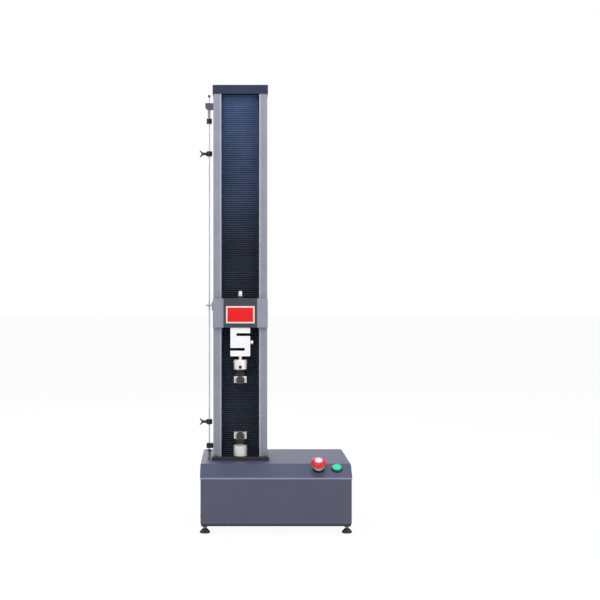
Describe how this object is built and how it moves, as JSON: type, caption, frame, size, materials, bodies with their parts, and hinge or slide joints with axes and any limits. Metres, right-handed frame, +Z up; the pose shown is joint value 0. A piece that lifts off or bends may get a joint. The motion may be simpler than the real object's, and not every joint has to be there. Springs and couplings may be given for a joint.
{
  "type": "universal testing machine",
  "caption": "Single column electronic tension and compression tester: sheet base with console, tall column with pleated bellows, moving crosshead, load cell, screw grips and limit rod.",
  "frame": {"origin": "on the bench, under the middle of the machine's overall box", "axes": "+X to the operator's right, +Y towards the back, +Z up"},
  "size_m": [0.4105, 0.37, 1.2085],
  "materials": {
    "base_paint": "satin powder coat",
    "black_paint": "satin",
    "column_aluminium": "anodised, satin",
    "column_steel": "ground",
    "cap_slate": "satin",
    "crosshead_paint": "satin",
    "crosshead_dark": "satin",
    "bright_steel": "nickel plated",
    "grip_steel": "ground",
    "dark_steel": "black oxide",
    "knob_dark": "ribbed",
    "pleated_rubber": "matt, pleated",
    "pad_rubber": "matt",
    "belt_rubber": "matt",
    "motor_black": "satin",
    "pulley_aluminium": "turned",
    "drive_case": "satin",
    "socket_black": "satin",
    "collar_cream": "satin",
    "estop_red": "glossy",
    "start_green": "glossy",
    "stem_grey": "satin"
  },
  "bodies": {
    "frame": {"base_plate": "black_paint", "base_housing": "base_paint", "base_cover": "base_paint", "rear_panel": "base_paint", "rear_sockets": "socket_black", "base_frame": "black_paint", "servo_motor": "motor_black", "drive_belt": "belt_rubber", "servo_drive": "drive_case", "column_foot_plate": "black_paint", "column_left": "column_aluminium", "column_right": "column_aluminium", "column_back": "column_aluminium", "top_cap": "cap_slate", "guide_rails": "column_steel", "bearing_blocks": "column_steel", "lower_adapter": "bright_steel", "lower_grip_body": "grip_steel", "bellows_upper": "pleated_rubber", "bellows_lower": "pleated_rubber", "rod_guides": "dark_steel", "upper_rod_spring": "column_steel", "lower_rod_spring": "column_steel", "limit_switch": "socket_black", "estop_collar": "collar_cream", "start_bezel": "socket_black"},
    "crosshead": {"guide_carriages": "column_steel", "ball_nut": "column_steel", "crosshead_bracket": "column_aluminium", "crosshead_arm": "crosshead_paint", "crosshead_cover": "crosshead_dark", "load_cell": "bright_steel", "load_train_fasteners": "column_steel", "upper_adapter": "bright_steel", "limit_striker": "dark_steel"},
    "drive_screw": {"ball_screw": "column_steel", "screw_pulley": "pulley_aluminium"},
    "motor_shaft": {"motor_pulley": "pulley_aluminium"},
    "upper_grip": {"upper_grip_body": "grip_steel"},
    "upper_jaw_slide": {"upper_jaw": "grip_steel"},
    "upper_clamp_screw": {"upper_grip_screw": "knob_dark"},
    "lower_jaw_slide": {"lower_jaw": "grip_steel"},
    "lower_clamp_screw": {"lower_grip_screw": "knob_dark"},
    "rod": {"limit_rod": "column_steel"},
    "upper_rod_stop": {"upper_stop": "dark_steel"},
    "upper_wing_screw": {"upper_stop_screw": "dark_steel"},
    "lower_rod_stop": {"lower_stop": "dark_steel"},
    "lower_wing_screw": {"lower_stop_screw": "dark_steel"},
    "estop_stem": {"estop_plunger": "stem_grey"},
    "estop_mushroom": {"estop_head": "estop_red"},
    "start_key": {"start_button": "start_green"},
    "rocker": {"mains_rocker": "socket_black"},
    "front_left_pad": {"front_left_foot_pad": "pad_rubber"},
    "front_left_stud": {"front_left_foot_stud": "column_steel"},
    "front_right_pad": {"front_right_foot_pad": "pad_rubber"},
    "front_right_stud": {"front_right_foot_stud": "column_steel"},
    "rear_left_pad": {"rear_left_foot_pad": "pad_rubber"},
    "rear_left_stud": {"rear_left_foot_stud": "column_steel"},
    "rear_right_pad": {"rear_right_foot_pad": "pad_rubber"},
    "rear_right_stud": {"rear_right_foot_stud": "column_steel"}
  },
  "joints": [
    {"name": "screw_spin", "type": "hinge", "parent": "frame", "child": "drive_screw", "pos_m": [-0.092, 0.032, 0.191], "axis": [0, 0, 1], "range_deg": [-29292, 9060]},
    {"name": "crosshead_travel", "type": "slide", "parent": "frame", "child": "crosshead", "axis": [0, 0, 1], "range_m": [-0.125, 0.406], "deforming": ["bellows_upper", "bellows_lower"]},
    {"name": "motor_spin", "type": "hinge", "parent": "frame", "child": "motor_shaft", "pos_m": [0.08098, 0.032, 0.0895], "axis": [0, 0, 1], "range_deg": [-58644, 18180]},
    {"name": "upper_grip_swing", "type": "hinge", "parent": "crosshead", "child": "upper_grip", "pos_m": [-0.092, -0.058, 0.4358], "axis": [0, 1, 0], "range_deg": [-6, 6]},
    {"name": "upper_jaw_travel", "type": "slide", "parent": "upper_grip", "child": "upper_jaw_slide", "axis": [0, 1, 0], "range_m": [-0.0005, 0.0085]},
    {"name": "upper_clamp_turn", "type": "hinge", "parent": "upper_jaw_slide", "child": "upper_clamp_screw", "pos_m": [-0.092, -0.084, 0.4019], "axis": [0, 1, 0], "range_deg": [-150, 2070]},
    {"name": "lower_jaw_travel", "type": "slide", "parent": "frame", "child": "lower_jaw_slide", "axis": [0, 1, 0], "range_m": [-0.0005, 0.0085]},
    {"name": "lower_clamp_turn", "type": "hinge", "parent": "lower_jaw_slide", "child": "lower_clamp_screw", "pos_m": [-0.092, -0.084, 0.2499], "axis": [0, 1, 0], "range_deg": [-150, 2070]},
    {"name": "limit_rod_travel", "type": "slide", "parent": "frame", "child": "rod", "axis": [0, 0, 1], "range_m": [-0.003, 0.003], "stiffness_N_per_m": 3000, "deforming": ["upper_rod_spring", "lower_rod_spring"]},
    {"name": "upper_stop_slide", "type": "slide", "parent": "rod", "child": "upper_rod_stop", "axis": [0, 0, 1], "range_m": [0, 0.07]},
    {"name": "upper_wing_turn", "type": "hinge", "parent": "upper_rod_stop", "child": "upper_wing_screw", "pos_m": [-0.178, -0.02, 1.0233], "axis": [1, 0, 0], "range_deg": [-360, 0]},
    {"name": "lower_stop_slide", "type": "slide", "parent": "rod", "child": "lower_rod_stop", "axis": [0, 0, 1], "range_m": [-0.048, 0.18]},
    {"name": "lower_wing_turn", "type": "hinge", "parent": "lower_rod_stop", "child": "lower_wing_screw", "pos_m": [-0.178, -0.02, 0.2822], "axis": [1, 0, 0], "range_deg": [-360, 0]},
    {"name": "estop_press", "type": "slide", "parent": "frame", "child": "estop_stem", "axis": [0, 0.5506, -0.8348], "range_m": [0, 0.004], "stiffness_N_per_m": 1200},
    {"name": "estop_twist", "type": "hinge", "parent": "estop_stem", "child": "estop_mushroom", "pos_m": [0.1162, -0.15537, 0.16955], "axis": [0, -0.5506, 0.8348], "range_deg": [0, 45], "stiffness_Nm_per_rad": 0.1},
    {"name": "start_press", "type": "slide", "parent": "frame", "child": "start_key", "axis": [0, 0.5506, -0.8348], "range_m": [0, 0.0025], "stiffness_N_per_m": 600},
    {"name": "mains_rocker_tilt", "type": "hinge", "parent": "frame", "child": "rocker", "pos_m": [0.16, 0.1785, 0.111], "axis": [1, 0, 0], "range_deg": [-20, 0]},
    {"name": "front_left_foot_height", "type": "slide", "parent": "frame", "child": "front_left_pad", "axis": [0, 0, 1], "range_m": [-0.008, 0.004]},
    {"name": "front_left_foot_turn", "type": "hinge", "parent": "front_left_pad", "child": "front_left_stud", "pos_m": [-0.186, -0.161, 0.012], "axis": [0, 0, 1], "range_deg": [-1950, 990]},
    {"name": "front_right_foot_height", "type": "slide", "parent": "frame", "child": "front_right_pad", "axis": [0, 0, 1], "range_m": [-0.008, 0.004]},
    {"name": "front_right_foot_turn", "type": "hinge", "parent": "front_right_pad", "child": "front_right_stud", "pos_m": [0.192, -0.161, 0.012], "axis": [0, 0, 1], "range_deg": [-1950, 990]},
    {"name": "rear_left_foot_height", "type": "slide", "parent": "frame", "child": "rear_left_pad", "axis": [0, 0, 1], "range_m": [-0.008, 0.004]},
    {"name": "rear_left_foot_turn", "type": "hinge", "parent": "rear_left_pad", "child": "rear_left_stud", "pos_m": [-0.186, 0.161, 0.012], "axis": [0, 0, 1], "range_deg": [-1950, 990]},
    {"name": "rear_right_foot_height", "type": "slide", "parent": "frame", "child": "rear_right_pad", "axis": [0, 0, 1], "range_m": [-0.008, 0.004]},
    {"name": "rear_right_foot_turn", "type": "hinge", "parent": "rear_right_pad", "child": "rear_right_stud", "pos_m": [0.192, 0.161, 0.012], "axis": [0, 0, 1], "range_deg": [-1950, 990]}
  ],
  "couplings": [
    {"joint": "screw_spin", "follows": "crosshead_travel", "rad_per_m": -1256.6},
    {"joint": "motor_spin", "follows": "crosshead_travel", "rad_per_m": -2513.3},
    {"joint": "upper_clamp_turn", "follows": "upper_jaw_travel", "rad_per_m": 4188.8},
    {"joint": "lower_clamp_turn", "follows": "lower_jaw_travel", "rad_per_m": 4188.8},
    {"joint": "front_left_foot_turn", "follows": "front_left_foot_height", "rad_per_m": 4188.8},
    {"joint": "front_right_foot_turn", "follows": "front_right_foot_height", "rad_per_m": 4188.8},
    {"joint": "rear_left_foot_turn", "follows": "rear_left_foot_height", "rad_per_m": 4188.8},
    {"joint": "rear_right_foot_turn", "follows": "rear_right_foot_height", "rad_per_m": 4188.8}
  ]
}
